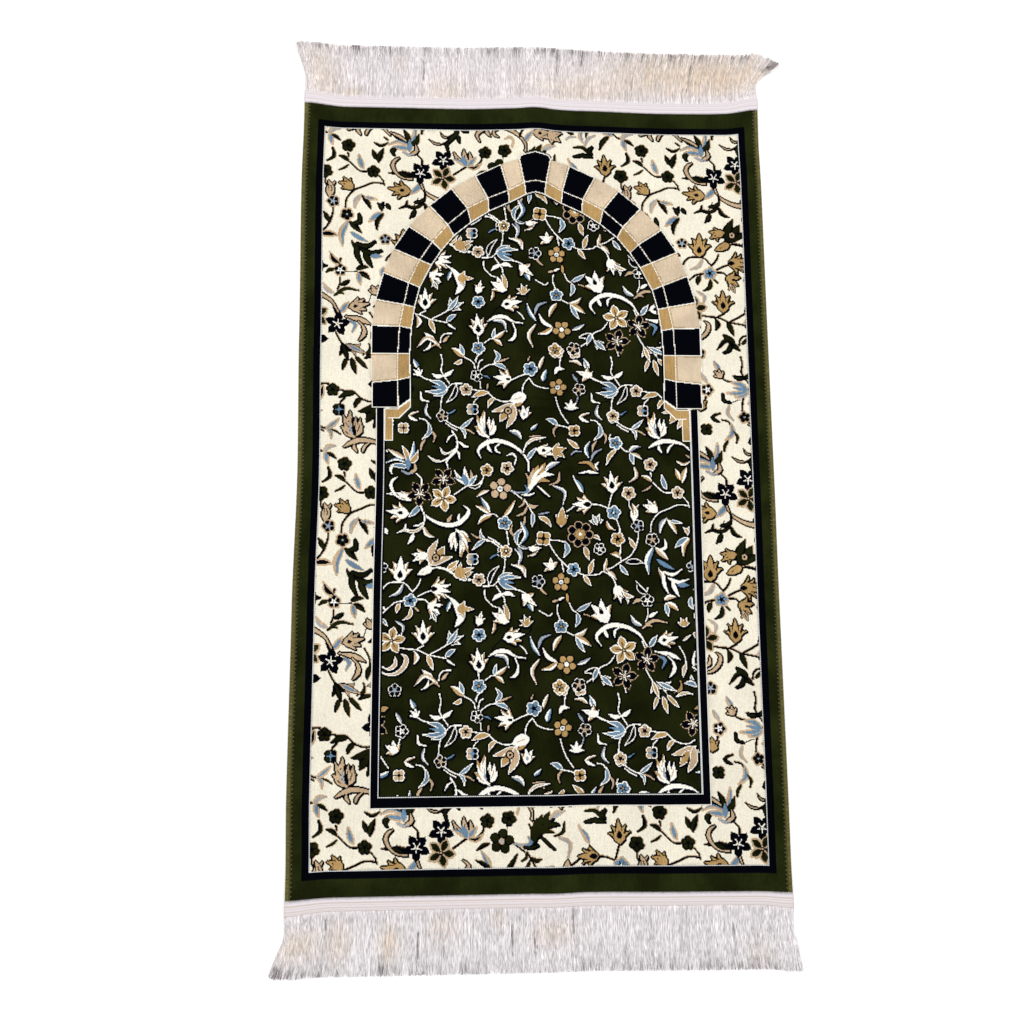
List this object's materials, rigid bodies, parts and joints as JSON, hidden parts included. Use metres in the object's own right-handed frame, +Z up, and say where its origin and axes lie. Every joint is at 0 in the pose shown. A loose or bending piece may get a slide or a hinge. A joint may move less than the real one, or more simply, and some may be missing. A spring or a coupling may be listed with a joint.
{
  "type": "prayer rug",
  "caption": "Flat woven pile rug with overcast sides and a ribbed, fringed heading tape at each end, lying on the floor.",
  "frame": {"origin": "centre of the rug's underside, on the floor", "axes": "+Y along the rug towards the arch's point, +X to the right when the arch points away, +Z up out of the pile"},
  "size_m": [0.7335, 1.3428, 0.0109],
  "materials": {
    "pile": "short cut pile, dark green with a cream, black, tan and blue floral pattern",
    "overcasting": "olive overcast yarn",
    "fringe": "off-white silky fringe yarn and ribbed tape"
  },
  "bodies": {
    "root": {"rug": "pile", "side_binding_left": "overcasting", "side_binding_right": "overcasting", "fringe_top": "fringe", "fringe_bottom": "fringe"}
  },
  "joints": []
}
